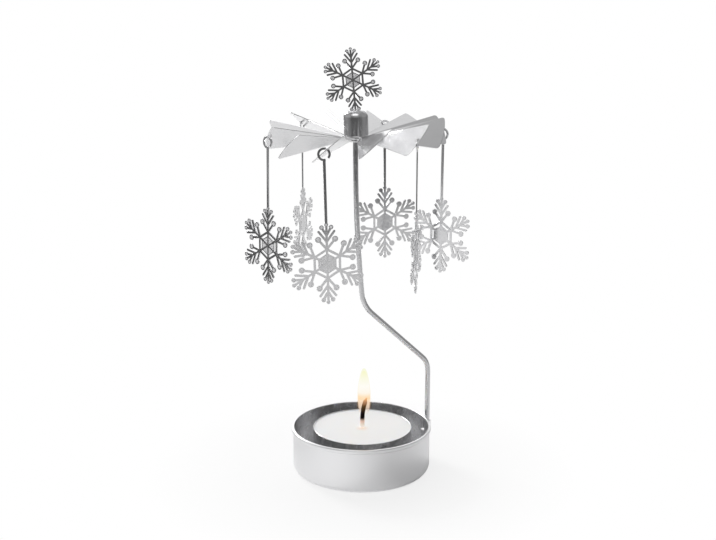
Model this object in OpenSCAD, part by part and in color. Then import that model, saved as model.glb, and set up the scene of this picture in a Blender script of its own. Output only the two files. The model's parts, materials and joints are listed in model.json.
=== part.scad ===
// Candle carousel: a tealight cup, a bent wire stem with a needle point, and a
// bladed rotor with six hanging snowflakes that the rising warm air turns.
// Millimetres, +Z up, origin at the centre of the cup's underside.

/* [Cup] */
// Outer diameter of the cup's wall
cup_d = 53.8; // [50:0.1:60]
// Height of the cup
cup_h = 17.9; // [16:0.1:24]
// Thickness of the cup's sheet
cup_wall = 0.5; // [0.4:0.05:0.8]
// Outside radius of the corner between wall and floor
cup_corner_r = 3; // [1.5:0.1:5]
// How far the rim's bead stands out from the wall
bead_out = 0.5; // [0.3:0.05:0.7]
// Height of the rim's bead
bead_h = 1.7; // [1.2:0.1:2.4]
// Height of the strap that is pressed out of the wall
strap_h = 4; // [2:0.1:6]
// Thickness of the strap
strap_t = 0.4; // [0.3:0.05:0.6]

/* [Stem] */
// Diameter of the wire
wire_d = 2; // [1.6:0.1:2.4]
// Height of the needle's tip above the table
tip_z = 139.5; // [125:0.5:160]
// Place of the needle's tip to the side of the cup's centre
tip_x = -2.2; // [-6:0.1:2]
// Lean of the bowed upper leg where it leaves the upper bend, in degrees
stem_lean = 5.4; // [3:0.1:7]
// Height at which the lines of the bowed leg's two ends meet
bow_z = 97.6; // [88:0.1:106]
// Height of the wire's lower end
stem_foot_z = 6.8; // [2:0.1:10]
// Height at which the lower leg's line meets the slanting stretch
bend_low_z = 40.5; // [34:0.1:48]
// Height at which the upper leg's line meets the slanting stretch
bend_high_z = 66.3; // [58:0.1:80]
// Radius of the lower bend, at the middle of the wire
elbow_r = 8.3; // [6:0.1:14]
// Radius of the upper bend, at the middle of the wire
knee_r = 13; // [8:0.1:16]
// Direction of the lower leg from the cup's centre, in degrees from +X
leg_turn = 21.2; // [0:0.1:60]
// Length of the needle's ground taper
needle_l = 6; // [4:0.5:10]
// Diameter of the needle's blunt tip
needle_tip_d = 0.3; // [0.2:0.05:0.6]

/* [Fan] */
// Radius of the fan's flat blank
fan_r = 33.6; // [28:0.1:36]
// Thickness of the fan's sheet
fan_t = 0.3; // [0.2:0.05:0.5]
// Height of the needle's tip above the middle of the fan's sheet
fan_drop = 8.3; // [7.8:0.1:11]
// Length of the twisted neck between the fan's flat middle and a blade
neck_l = 1.3; // [1:0.1:2.5]
// Width of a blade at its root
blade_root_w = 2.4; // [1.8:0.1:3]
// Width of a blade across its outer corners
blade_tip_w = 15.7; // [12:0.1:16.5]
// Radius of a blade's outer corners
blade_corner_r = 1.3; // [0.5:0.1:2]
// Twist of each blade, in degrees
blade_twist = 38; // [25:0.5:45]
// Rise of the blades towards their tips, in degrees
blade_rise = 3.6; // [0:0.1:8]
// Direction of the first blade from +X, in degrees
first_blade = -167.9; // [-180:0.1:180]
// Lean of the rotor to the side as it rests on the needle, in degrees
rotor_lean = 2.4; // [0:0.1:2.6]
// Lean of the rotor to the front, in degrees
rotor_nod = 1.4; // [0:0.1:1.8]

/* [Hub] */
// Outer diameter of the hub cap
cap_d = 9.2; // [9:0.1:10]
// Thickness of the cap's wall
cap_wall = 0.45; // [0.35:0.05:0.6]
// Height of the cap's top above the needle's tip
cap_over_tip = 2; // [1.9:0.1:4]
// Radius of the cap's rounded shoulder
cap_shoulder_r = 1.7; // [1:0.1:2.5]
// Height of the lip round the cap's mouth
cap_lip_h = 0.8; // [0.5:0.1:1.2]
// How far the lip stands out
cap_lip_out = 0.25; // [0.1:0.05:0.4]
// Bore of the bush, which clears the leaning wire
bush_bore_d = 4.4; // [4.2:0.1:4.6]
// Diameter of the bush where it passes through the fan
bush_neck_d = 5.6; // [5.3:0.1:6]
// Diameter of the bush's flared head under the fan
bush_head_d = 7.2; // [6.6:0.1:8.4]
// Thickness of the flared head
bush_head_t = 1.2; // [0.8:0.1:1.6]
// Height of the bush inside the cap
bush_plug_h = 1.8; // [1:0.1:3]
// Height of the bearing seat
seat_h = 2.7; // [2:0.1:4]
// Half angle of the seat's conical dimple, in degrees
seat_angle = 38; // [30:1:50]

/* [Snowflakes] */
// Radius of a pendant's snowflake, centre to tip
flake_r = 14.8; // [10:0.1:15.4]
// Radius of the snowflake on top, centre to tip
finial_r = 11.9; // [9:0.1:14]
// Width of the snowflakes' bars
bar_w = 0.88; // [0.5:0.02:1.1]
// Thickness of the etched sheet
sheet_t = 0.4; // [0.25:0.05:0.6]
// Height of the finial's foot, on which it stands inside the cap
foot_h = 0.5; // [0.1:0.05:0.9]
// Width of the finial's foot
foot_w = 1.6; // [1:0.1:2.4]
// Lean of the finial in its slot, in degrees
finial_lean = 2.5; // [0:0.1:4]
// Turn of the finial about the hub's axis, in degrees
finial_turn = 10; // [-90:1:90]

/* [Pendants] */
// Outer diameter of the C-shaped hook
hook_d = 4.8; // [4.4:0.1:5.6]
// Width of the hook's stroke
hook_w = 0.8; // [0.6:0.05:1]
// Opening of the hook beside the strip, in degrees
hook_gap = 32; // [20:1:60]
// Width of the strip between hook and snowflake
strip_w = 1; // [0.8:0.05:1.4]
// Distance from the hook's centre to the snowflake's centre
hang_l = 39; // [34:0.1:45]
// Turn of a pendant's sheet from square to the blade's direction, in degrees
hang_turn = 35; // [30:1:45]
// Angle from the hook's top round to where it passes through the blade, in degrees
hook_bite = 38; // [36:1:42]
// Diameter of the hook hole
hole_d = 1.6; // [1.4:0.05:2]
// Metal left between the hook hole and the blade's outer edge
hole_edge = 0.35; // [0.25:0.05:0.6]

/* [Tealight] */
// Diameter of the tealight's cup
tealight_d = 38.6; // [36:0.1:40]
// Height of the tealight's cup
tealight_h = 16.7; // [14:0.1:17.2]
// Thickness of the tealight's foil cup
foil_t = 0.25; // [0.15:0.05:0.4]
// How far the wax lies below the foil's edge
wax_below = 0.25; // [0.1:0.05:2]
// Place of the tealight to the side of the cup's centre
tealight_x = 0.4; // [-2:0.1:2]
// Diameter of the wick
wick_d = 1.7; // [1.2:0.1:2]
// Length of the straight wick above the wax
wick_straight = 3; // [1:0.1:5]
// Radius of the wick's curl
wick_curl_r = 25; // [15:0.5:40]
// Angle of the wick's curl, in degrees
wick_curl = 21; // [10:1:30]
// Diameter of the wick's tin foot
sustainer_d = 12; // [8:0.5:16]
// Thickness of the tin foot
sustainer_t = 0.3; // [0.2:0.05:0.5]
// Height of the tin foot's collar
sustainer_h = 5; // [3:0.5:7]

/* [Hidden] */
$fn = 64;
small_fn = 20;
wire_fn = 32;
bend_steps = 12;

// How far a cut runs past what it cuts
over = 1;
// Clearance between a wire or tongue and the metal that holds it
fit_gap = 0.05;
// Clearance between pressed pieces of one body
press_gap = 0.01;
// Free height between the needle's tip and the top of its dimple
tip_gap = 0.05;
// Bends of the single blades by hand, in degrees down from the common rise
blade_sag = [-0.8, 2.1, 2.2, -0.4, 0.1, -0.5, 2.1, 1, 0.8, -0.2, -4, -2];
// Degrees by which single blades are twisted less than the rest
blade_untwist = [0, 0, 0, 0, 0, 0, 0, 9.5, 0, 0, 0, 0];
// Turn and sideways sway of the single pendants on their hooks, in degrees
hang_drift = [0, -4.4, 2.3, 3.4, 1.2, -1];
hang_sway = [-1, 1.4, 0, 0.4, -0.4, 0];

// Pendants, which hang on every second blade
pendants = 6;
blades = 2 * pendants;
// Swelling of the wire's radius in its bends, and how far a straight stretch reaches into a bend
bend_swell = 0.02;
bend_lap = 0.1;
// Free edge of the fan's flat middle outside the cap's lip
hub_edge = 0.1;

cup_r = cup_d / 2;
wire_r = wire_d / 2;
// Middle of the wire's lower leg, which touches the rim's bead
leg_r = cup_r + bead_out + fit_gap + wire_r;
leg = [leg_r * cos(leg_turn), leg_r * sin(leg_turn)];
strap_z = cup_h - bead_h - strap_h;
// The bent wire lies in one upright plane through the needle and the lower leg
plane_turn = atan2(leg.y, leg.x - tip_x);
leg_out = norm([leg.x - tip_x, leg.y]);
knee = [(bow_z - bend_high_z) * tan(stem_lean), bend_high_z];
elbow = [leg_out, bend_low_z];
slant = atan2(knee.y - elbow.y, elbow.x - knee.x);
knee_angle = 90 - slant - stem_lean;
elbow_angle = 90 - slant;
knee_tangent = knee_r * tan(knee_angle / 2);
elbow_tangent = elbow_r * tan(elbow_angle / 2);
// The bow fills the upper leg but for a short straight stretch at each end
bow_run = 0.5;
bow_tangent = min(
    tip_z - needle_l - bow_z,
    (bow_z - bend_high_z) / cos(stem_lean) - knee_tangent
) - bow_run;
bow_r = bow_tangent / tan(stem_lean / 2);

cap_r = cap_d / 2;
cap_bore_r = cap_r - cap_wall;
bore_shoulder_r = cap_shoulder_r - cap_wall;
// Free height between the bearing seat and the cap's top, for the finial's lowest arm
seat_room = 1;
seat_top = cap_over_tip - cap_wall - seat_room;

fan_top = fan_t / 2 - fan_drop;
fan_under = -fan_t / 2 - fan_drop;
cap_h = cap_over_tip - fan_top;
fan_hub_r = cap_r + cap_lip_out + hub_edge;
blade_root_r = fan_hub_r + neck_l;
blade_side = atan2(
    (blade_tip_w - blade_root_w) / 2,
    sqrt(pow(fan_r, 2) - pow(blade_tip_w / 2, 2)) - blade_root_r
);
blade_tip_turn = asin(blade_tip_w / 2 / fan_r);
hole_r = fan_r - hole_edge - hole_d / 2;

hook_r = (hook_d - hook_w) / 2;
strip_l = hang_l - hook_r;

// Places on one arm of a snowflake as shares of its radius, [out along the arm, to the side]
frame_share = 0.355;
plate_share = 0.258;
bud_share = [0.6, 0.207];
bud_r_share = 0.074;
twig_root_share = 0.54;
twig_share = [0.79, 0.19];
prong_root_share = 0.69;
prong_share = [0.89, 0.115];
prong_r_share = 0.056;
tip_share = 0.952;
tip_r_share = 0.048;
// The finial's height above the needle's tip, and the slot that its lowest arm passes through
finial_rise = seat_top + foot_h + finial_r;
slot_w = 2 * finial_r * (prong_share.y + prong_r_share) + 6 * fit_gap;

tealight_r = tealight_d / 2;
wax_z = cup_wall + tealight_h - wax_below;

// A point of the rotor's own frame, whose origin is the needle's tip, in the part's frame
function leaned(p) =
    let (z = p.x * sin(rotor_lean) + p.z * cos(rotor_lean))
    [
        tip_x + p.x * cos(rotor_lean) - p.z * sin(rotor_lean),
        p.y * cos(rotor_nod) - z * sin(rotor_nod),
        tip_z + p.y * sin(rotor_nod) + z * cos(rotor_nod),
    ];
function blade_dir(i) = first_blade + i * 360 / blades;
function blade_lift(i) = blade_rise - blade_sag[i];
// Middle of blade i's hook hole
function hole_at(i) =
    let (reach = blade_root_r + (hole_r - blade_root_r) * cos(blade_lift(i)))
    leaned([
        reach * cos(blade_dir(i)),
        reach * sin(blade_dir(i)),
        (hole_r - blade_root_r) * sin(blade_lift(i)) - fan_drop,
    ]);
// Direction in which a pendant's sheet faces, and the direction along its sheet
function face_dir(i) = blade_dir(i) + hang_turn + hang_drift[i / 2];
function facing(i) = [cos(face_dir(i)), sin(face_dir(i)), 0];
function along(i) = [-sin(face_dir(i)), cos(face_dir(i)), 0];
// Middle of the hook that hangs in blade i
function hook_at(i) =
    hole_at(i) + fit_gap * facing(i)
    - hook_r * (sin(hook_bite) * along(i) + cos(hook_bite) * [0, 0, 1]);
// The hook's inside top, on which the pendant hangs and swings
function pivot_at(i) = hook_at(i) + [0, 0, hook_r - hook_w / 2];

echo(needle = [tip_x, 0, tip_z]);
for (k = [0:pendants - 1])
    echo(pendant = k + 1, pivot = pivot_at(2 * k), swing_axis = -along(2 * k));

module in_rotor() {
    translate([tip_x, 0, tip_z])
        rotate([rotor_nod, 0, 0])
            rotate([0, -rotor_lean, 0])
                children();
}

module on_blade(i) {
    translate([0, 0, -fan_drop])
        rotate([0, 0, blade_dir(i)])
            translate([blade_root_r, 0, 0])
                rotate([0, -blade_lift(i), 0])
                    rotate([blade_twist - blade_untwist[i], 0, 0])
                        translate([-blade_root_r, 0, 0])
                            children();
}

// Cross-section of a drawn cup: half width r, height h, outside corner radius c
module cup_half(r, h, c) {
    square([r - c, h]);
    translate([0, c])
        square([r, h - c]);
    translate([r - c, c])
        circle(c);
}

module bead_round(r) {
    swell = (pow(bead_h / 2, 2) + pow(bead_out, 2)) / (2 * bead_out);
    translate([cup_r + bead_out - swell, cup_h - bead_h / 2])
        circle(swell - r);
}

module cup_profile() {
    difference() {
        union() {
            cup_half(cup_r, cup_h, cup_corner_r);
            intersection() {
                bead_round(0);
                translate([cup_r - cup_wall, 0])
                    square([cup_wall + bead_out, cup_h]);
            }
        }
        translate([0, cup_wall])
            cup_half(cup_r - cup_wall, cup_h, cup_corner_r - cup_wall);
        bead_round(cup_wall);
    }
}

// The strap in plan: a loop round the wire with two legs to the wall
module strap_outline(r) {
    translate([leg_r, 0])
        circle(r);
    translate([cup_r - cup_wall / 2, -r])
        square([leg_r - cup_r + cup_wall / 2, 2 * r]);
}

module candle_cup() {
    color([0.78, 0.78, 0.79])
    difference() {
        union() {
            rotate_extrude()
                cup_profile();
            rotate([0, 0, leg_turn])
                translate([0, 0, strap_z])
                    linear_extrude(strap_h)
                        strap_outline(wire_r + fit_gap + strap_t);
        }
        rotate([0, 0, leg_turn])
            translate([0, 0, strap_z - fit_gap]) {
                translate([leg_r, 0, 0])
                    cylinder(h = strap_h + 2 * fit_gap, r = wire_r + fit_gap);
                translate([cup_r - cup_wall - over, -wire_r - fit_gap, 0])
                    cube([leg_r - cup_r + cup_wall + over, wire_d + 2 * fit_gap, strap_h + 2 * fit_gap]);
            }
    }
}

// A straight stretch of wire in the bend plane, from a to b, which reaches on past them into bends
module wire_run(a, b, past_a = bend_lap, past_b = bend_lap) {
    translate([a.x, 0, a.y])
        rotate([0, atan2(b.x - a.x, b.y - a.y), 0])
            translate([0, 0, -past_a])
                cylinder(h = norm(b - a) + past_a + past_b, r = wire_r);
}

// A bend of radius r: it starts at p, heading head degrees from +Z towards +X, and turns by angle
module wire_bend(p, head, angle, r) {
    side = sign(angle);
    translate([p.x, 0, p.y])
        rotate([0, head, 0])
            translate([side * r, 0, 0])
                rotate([90, 0, side > 0 ? 180 : 0])
                    rotate_extrude(angle = abs(angle), $fn = bend_steps * 360 / abs(angle))
                        translate([r, 0])
                            circle(wire_r + bend_swell, $fn = wire_fn);
}

module stem() {
    leg_top = elbow - elbow_tangent * [0, 1];
    slant_low = elbow + elbow_tangent * [-cos(slant), sin(slant)];
    slant_high = knee + knee_tangent * [cos(slant), -sin(slant)];
    up = [-sin(stem_lean), cos(stem_lean)];
    bow = [0, bow_z];
    bow_low = bow - bow_tangent * up;
    bow_high = bow + bow_tangent * [0, 1];
    needle_low = [0, tip_z - needle_l];
    color([0.62, 0.62, 0.63])
    translate([tip_x, 0, 0])
        rotate([0, 0, plane_turn]) {
            wire_run([leg_out, stem_foot_z], leg_top, past_a = 0);
            wire_bend(leg_top, 0, -elbow_angle, elbow_r);
            wire_run(slant_low, slant_high);
            wire_bend(slant_high, slant - 90, knee_angle, knee_r);
            wire_run(knee + knee_tangent * up, bow_low);
            wire_bend(bow_low, -stem_lean, stem_lean, bow_r);
            wire_run(bow_high, needle_low, past_b = 0);
            translate([0, 0, needle_low.y])
                cylinder(h = needle_l, r1 = wire_r, r2 = needle_tip_d / 2);
        }
}

module blade_outline() {
    reach = fan_r - blade_root_r;
    difference() {
        intersection() {
            circle(fan_r, $fn = 180);
            polygon([
                [blade_root_r - over / 2, -blade_root_w / 2],
                [blade_root_r, -blade_root_w / 2],
                [fan_r, -blade_root_w / 2 - reach * tan(blade_side)],
                [fan_r, blade_root_w / 2 + reach * tan(blade_side)],
                [blade_root_r, blade_root_w / 2],
                [blade_root_r - over / 2, blade_root_w / 2],
            ]);
        }
        for (side = [-1, 1])
            rotate(side * blade_tip_turn)
                translate([fan_r - blade_corner_r, -side * blade_corner_r])
                    difference() {
                        translate([0, side > 0 ? 0 : -blade_corner_r - over])
                            square(blade_corner_r + over);
                        circle(blade_corner_r, $fn = small_fn);
                    }
    }
}

// The neck of a blade, whose twist is taken in flat steps
module blade_neck(twist) {
    steps = 4;
    for (k = [0:steps - 1])
        rotate([twist * k / steps, 0, 0])
            translate([blade_root_r - neck_l * (1 - k / steps) - fan_t, -blade_root_w / 2, -fan_t / 2])
                cube([neck_l / steps + 2 * fan_t, blade_root_w, fan_t]);
}

module fan() {
    color([0.85, 0.85, 0.86])
    in_rotor() {
        translate([0, 0, fan_under])
            difference() {
                cylinder(h = fan_t, r = fan_hub_r);
                translate([0, 0, -over])
                    cylinder(h = fan_t + 2 * over, d = bush_neck_d + 2 * press_gap);
            }
        for (i = [0:blades - 1]) {
            translate([0, 0, -fan_drop])
                rotate([0, 0, blade_dir(i)])
                    blade_neck(blade_twist - blade_untwist[i]);
            on_blade(i)
                difference() {
                    translate([0, 0, -fan_t / 2])
                        linear_extrude(fan_t)
                            blade_outline();
                    if (i % 2 == 0)
                        translate([hole_r, 0, -over])
                            cylinder(h = 2 * over, d = hole_d);
                }
        }
    }
}

module cap_half(r, h, c) {
    square([r, h - c]);
    square([r - c, h]);
    translate([r - c, h - c])
        circle(c);
}

module hub_cap() {
    color([0.35, 0.35, 0.36])
    in_rotor()
        difference() {
            translate([0, 0, fan_top])
                rotate_extrude()
                    difference() {
                        union() {
                            cap_half(cap_r, cap_h, cap_shoulder_r);
                            square([cap_r + cap_lip_out, cap_lip_h]);
                        }
                        translate([0, -over])
                            square([cap_bore_r, over]);
                        cap_half(cap_bore_r, cap_h - cap_wall, bore_shoulder_r);
                    }
            rotate([0, 0, finial_turn])
                translate([0, 0, cap_over_tip])
                    cube([slot_w, sheet_t + 2 * fit_gap, 2 * (cap_wall + fit_gap)], center = true);
        }
}

module hub_bush() {
    color([0.9, 0.9, 0.9])
    in_rotor()
        rotate_extrude()
            difference() {
                union() {
                    translate([0, fan_under - bush_head_t]) {
                        square([bush_head_d / 2 - bush_head_t / 2, bush_head_t]);
                        translate([bush_head_d / 2 - bush_head_t / 2, bush_head_t / 2])
                            circle(bush_head_t / 2, $fn = small_fn);
                    }
                    translate([0, fan_under - bush_head_t / 2])
                        square([bush_neck_d / 2, fan_t + bush_head_t]);
                    translate([0, fan_top])
                        square([cap_bore_r - press_gap, bush_plug_h]);
                }
                translate([-over, fan_under - bush_head_t - over])
                    square([bush_bore_d / 2 + over, fan_t + bush_head_t + bush_plug_h + 2 * over]);
            }
}

// The seat's upper corner follows the inside of the cap's shoulder
module seat_half() {
    intersection() {
        translate([0, fan_top])
            cap_half(cap_bore_r - press_gap, cap_h - cap_wall - press_gap, bore_shoulder_r);
        translate([0, seat_top - seat_h])
            square([cap_r, seat_h]);
    }
}

module bearing_seat() {
    // The dimple ends in a point, just above the needle's blunt tip
    dimple_top = tip_gap + needle_tip_d / 2 / tan(seat_angle);
    dimple_h = dimple_top - seat_top + seat_h + over;
    color([0.78, 0.66, 0.36])
    in_rotor()
        difference() {
            rotate_extrude()
                seat_half();
            translate([0, 0, dimple_top - dimple_h])
                cylinder(h = dimple_h, r1 = dimple_h * tan(seat_angle), r2 = 0);
        }
}

// A straight bar in the sheet, from a to b, with round ends
module bar(a, b, w) {
    translate(a)
        rotate(atan2(b.y - a.y, b.x - a.x))
            translate([0, -w / 2])
                square([norm(b - a), w]);
    translate(b)
        circle(d = w, $fn = small_fn);
}

module flake_arm(r, w) {
    bar([0, 0], [0, tip_share * r], w);
    translate([0, tip_share * r])
        circle(tip_r_share * r, $fn = small_fn);
    for (side = [-1, 1]) {
        bud = [side * bud_share.y * r, bud_share.x * r];
        prong = [side * prong_share.y * r, prong_share.x * r];
        bar([0, frame_share * r], bud, w);
        translate(bud)
            circle(bud_r_share * r, $fn = small_fn);
        bar([0, twig_root_share * r], [side * twig_share.y * r, twig_share.x * r], w);
        bar([0, prong_root_share * r], prong, w);
        translate(prong)
            circle(prong_r_share * r, $fn = small_fn);
    }
}

// A six-armed snowflake of radius r, upright, with bars of width w
module flake_outline(r, w) {
    rotate(30)
        circle(plate_share * r, $fn = 6);
    for (turn = [0:60:300])
        rotate(turn) {
            flake_arm(r, w);
            bar([0, frame_share * r], frame_share * r * [cos(30), sin(30)], w);
        }
}

module finial() {
    foot_low = seat_top + fit_gap;
    foot_high = finial_rise - tip_share * finial_r;
    color([0.45, 0.45, 0.46])
    in_rotor()
        rotate([0, 0, finial_turn])
            translate([0, 0, cap_over_tip])
                rotate([0, -finial_lean, 0])
                    translate([0, sheet_t / 2, -cap_over_tip])
                        rotate([90, 0, 0])
                            linear_extrude(sheet_t) {
                                translate([0, finial_rise])
                                    flake_outline(finial_r, bar_w * finial_r / flake_r);
                                translate([-foot_w / 2, foot_low])
                                    square([foot_w, foot_high - foot_low]);
                            }
}

// One pendant's outline: the hook's centre at the origin, the snowflake below
module pendant_outline() {
    difference() {
        circle(hook_r + hook_w / 2, $fn = 48);
        circle(hook_r - hook_w / 2, $fn = 48);
        rotate(-90 + asin(strip_w / 2 / hook_r))
            polygon([
                [0, 0],
                [hook_d, 0],
                [hook_d * cos(hook_gap), hook_d * sin(hook_gap)],
            ]);
    }
    translate([-strip_w / 2, -hang_l + tip_share * flake_r])
        square([strip_w, strip_l - tip_share * flake_r]);
    translate([0, -hang_l])
        flake_outline(flake_r, bar_w);
}

module pendant(k) {
    color([0.75, 0.75, 0.77])
    translate(hook_at(2 * k))
        rotate([0, 0, face_dir(2 * k) + 90])
            rotate([90, 0, 0])
                rotate([0, 0, hang_sway[k]])
                    translate([0, 0, -sheet_t / 2])
                        linear_extrude(sheet_t)
                            pendant_outline();
}

module at_tealight() {
    translate([tealight_x, 0, cup_wall])
        children();
}

module tealight_cup() {
    color([0.85, 0.85, 0.87])
    at_tealight()
        difference() {
            cylinder(h = tealight_h, r = tealight_r);
            translate([0, 0, foil_t])
                cylinder(h = tealight_h, r = tealight_r - foil_t);
        }
}

// The tin foot: a flat disc with a collar that grips the wick
module sustainer_solid(gap) {
    collar_r = wick_d / 2 + fit_gap + sustainer_t + gap;
    cylinder(h = sustainer_t + gap, d = sustainer_d + 2 * gap);
    cylinder(h = sustainer_h + gap, r = collar_r);
}

module wax() {
    color([0.97, 0.96, 0.93])
    at_tealight()
        difference() {
            translate([0, 0, foil_t])
                cylinder(h = tealight_h - foil_t - wax_below, r = tealight_r - foil_t);
            translate([0, 0, foil_t])
                sustainer_solid(press_gap);
            translate([0, 0, foil_t])
                cylinder(h = tealight_h, d = wick_d + 2 * press_gap);
        }
}

module wick_sustainer() {
    color([0.6, 0.6, 0.6])
    at_tealight()
        translate([0, 0, foil_t])
            difference() {
                sustainer_solid(0);
                translate([0, 0, sustainer_t])
                    cylinder(h = sustainer_h, d = wick_d + 2 * press_gap);
            }
}

module wick() {
    straight = wax_z - cup_wall - foil_t - sustainer_t + wick_straight;
    color([0.12, 0.1, 0.09])
    at_tealight()
        translate([0, 0, foil_t + sustainer_t]) {
            cylinder(h = straight, d = wick_d);
            translate([wick_curl_r, 0, straight])
                rotate([90, 0, 180])
                    rotate_extrude(angle = wick_curl)
                        translate([wick_curl_r, 0])
                            circle(wick_d / 2);
        }
}

candle_cup();
stem();
fan();
hub_cap();
hub_bush();
bearing_seat();
finial();
pendant(0);  // pendant_1
pendant(1);  // pendant_2
pendant(2);  // pendant_3
pendant(3);  // pendant_4
pendant(4);  // pendant_5
pendant(5);  // pendant_6
tealight_cup();
wax();
wick_sustainer();
wick();
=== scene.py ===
# %% [markdown]
# # A candle carousel
# Warm air from a tealight turns a fan of twelve thin blades, and six snowflakes hang from it. This
# lesson dresses the engineer's solids with finished surfaces. Nearly every piece is bright metal, so
# the work lies in three things: clean edges, the right polish, and something fit to be mirrored.
# We start by loading the engineer's model, which stays fixed. All that follows is placed by it.

import json
import math

import bpy
import numpy as np
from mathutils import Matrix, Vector
from mathutils.geometry import delaunay_2d_cdt


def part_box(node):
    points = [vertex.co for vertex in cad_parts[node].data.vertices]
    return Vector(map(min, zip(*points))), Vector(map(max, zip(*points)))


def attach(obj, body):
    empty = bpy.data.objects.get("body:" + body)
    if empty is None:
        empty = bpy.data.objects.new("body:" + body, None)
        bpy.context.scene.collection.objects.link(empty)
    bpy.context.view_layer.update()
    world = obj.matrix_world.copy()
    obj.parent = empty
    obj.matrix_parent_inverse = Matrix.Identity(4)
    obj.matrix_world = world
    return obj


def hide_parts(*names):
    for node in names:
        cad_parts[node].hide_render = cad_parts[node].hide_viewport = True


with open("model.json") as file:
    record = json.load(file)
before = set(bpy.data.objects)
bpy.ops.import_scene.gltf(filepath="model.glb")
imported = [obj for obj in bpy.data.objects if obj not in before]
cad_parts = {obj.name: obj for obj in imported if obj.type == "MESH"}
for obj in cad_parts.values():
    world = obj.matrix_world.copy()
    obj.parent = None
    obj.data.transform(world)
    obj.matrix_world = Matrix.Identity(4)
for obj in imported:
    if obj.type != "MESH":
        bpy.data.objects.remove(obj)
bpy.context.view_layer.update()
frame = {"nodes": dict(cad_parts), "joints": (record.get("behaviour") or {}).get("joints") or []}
joints = {joint["name"]: joint for joint in frame["joints"]}
MM = 0.001


# %% [markdown]
# ## Tools for surfaces
# A lathe turns a profile round an axis, and a bench press gives a sheet its outline. Both can be said
# with arrays: a grid of points has rows and columns, and its faces join each point to its neighbours.
# These helpers take points in millimetres, since that is how a maker thinks, and store them in metres.

# %% Mesh from points and faces
def make_piece(name, points, faces, smooth_angle=35, materials=()):
    """A mesh object from points in mm and a list of face index arrays, smooth below smooth_angle degrees."""
    mesh = bpy.data.meshes.new(name)
    loops = [row for block in faces for row in np.asarray(block).tolist()]
    mesh.from_pydata((np.asarray(points) * MM).tolist(), [], loops)
    mesh.polygons.foreach_set("use_smooth", np.ones(len(mesh.polygons), bool))
    mesh.set_sharp_from_angle(angle=math.radians(smooth_angle))
    mesh.update()
    piece = bpy.data.objects.new(name, mesh)
    bpy.context.scene.collection.objects.link(piece)
    for material in materials:
        mesh.materials.append(material)
    return piece


def grid_faces(rows, columns, wrap_rows=False, wrap_columns=False):
    """Quads of a grid of points stored row by row: each joins (i, j), (i, j+1), (i+1, j+1), (i+1, j)."""
    i, j = np.meshgrid(
        np.arange(rows if wrap_rows else rows - 1),
        np.arange(columns if wrap_columns else columns - 1),
        indexing="ij",
    )
    i, j = i.ravel(), j.ravel()
    after_i, after_j = (i + 1) % rows, (j + 1) % columns
    quads = [i * columns + j, i * columns + after_j, after_i * columns + after_j, after_i * columns + j]
    return np.stack(quads, axis=1)


def rounded_line(corners, radii, steps=8):
    """A line through corners, each turned into an arc of its radius.

    An arc of radius r at a corner of turning angle a starts r*tan(a/2) before the corner. Its points
    run evenly in angle. corners is (n, 2), and radii holds one value for each inner corner.
    """
    corners = np.asarray(corners, float)
    line = [corners[0]]
    for before, corner, after, radius in zip(corners, corners[1:], corners[2:], radii):
        into = (corner - before) / np.linalg.norm(corner - before)
        out = (after - corner) / np.linalg.norm(after - corner)
        turn = math.atan2(into[0] * out[1] - into[1] * out[0], float(into @ out))
        if radius == 0 or abs(turn) < 1e-6:
            line.append(corner)
            continue
        inward = np.array([-into[1], into[0]]) * math.copysign(1, turn)
        start = corner - into * radius * math.tan(abs(turn) / 2)
        angles = np.linspace(0, abs(turn), steps + 1)[:, None]
        line.extend(start + radius * (into * np.sin(angles) + inward * (1 - np.cos(angles))))
    line.append(corners[-1])
    return np.array(line)


def revolve(profile, turns=192):
    """Points and faces of a profile (radius, height) carried round Z.

    Point (i, j) is (r_i cos t_j, r_i sin t_j, z_i), and turns is a count or the angles t_j. A profile
    that starts and ends on the axis closes with one pole point at each end; one that does neither is
    closed on itself as a ring.
    """
    profile = np.asarray(profile, float)
    angles = np.linspace(0, 2 * math.pi, turns, endpoint=False) if np.isscalar(turns) else turns
    count = len(angles)
    poles = [end for end in (0, -1) if profile[end, 0] == 0]
    ring = profile[(1 if 0 in poles else 0):(-1 if -1 in poles else None)]
    points = np.stack([
        ring[:, :1] * np.cos(angles),
        ring[:, :1] * np.sin(angles),
        np.repeat(ring[:, 1:], count, axis=1),
    ], axis=-1).reshape(-1, 3)
    faces = [grid_faces(len(ring), count, wrap_rows=not poles, wrap_columns=True)]
    around = np.arange(count)
    after = (around + 1) % count
    for end in poles:
        tip = np.full(count, len(points))
        edge = 0 if end == 0 else (len(ring) - 1) * count
        order = [edge + after, edge + around] if end == 0 else [edge + around, edge + after]
        faces.append(np.stack([*order, tip], axis=1))
        points = np.vstack([points, [0, 0, profile[end, 1]]])
    return points, faces


def sweep(path, radii, side, sides=32):
    """A round bar along a path that lies in a plane whose normal is side.

    Ring i is path_i + r_i (side cos t + across_i sin t), where across_i is at right angles to the
    path's heading and to side. Both ends close in a fan of triangles.
    """
    path, side = np.asarray(path, float), np.asarray(side, float)
    heading = np.gradient(path, axis=0)
    heading /= np.linalg.norm(heading, axis=1)[:, None]
    across = np.cross(heading, side)
    angles = np.linspace(0, 2 * math.pi, sides, endpoint=False)
    around = side * np.cos(angles)[:, None] + across[:, None, :] * np.sin(angles)[None, :, None]
    points = path[:, None, :] + np.asarray(radii)[:, None, None] * around
    count = len(path) * sides
    points = np.vstack([points.reshape(-1, 3), path[0], path[-1]])
    j = np.arange(sides)
    after = (j + 1) % sides
    faces = [
        grid_faces(len(path), sides, wrap_columns=True)[:, ::-1],
        np.stack([j, after, np.full(sides, count)], axis=1),
        np.stack([after + count - sides, j + count - sides, np.full(sides, count + 1)], axis=1),
    ]
    return points, faces


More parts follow.
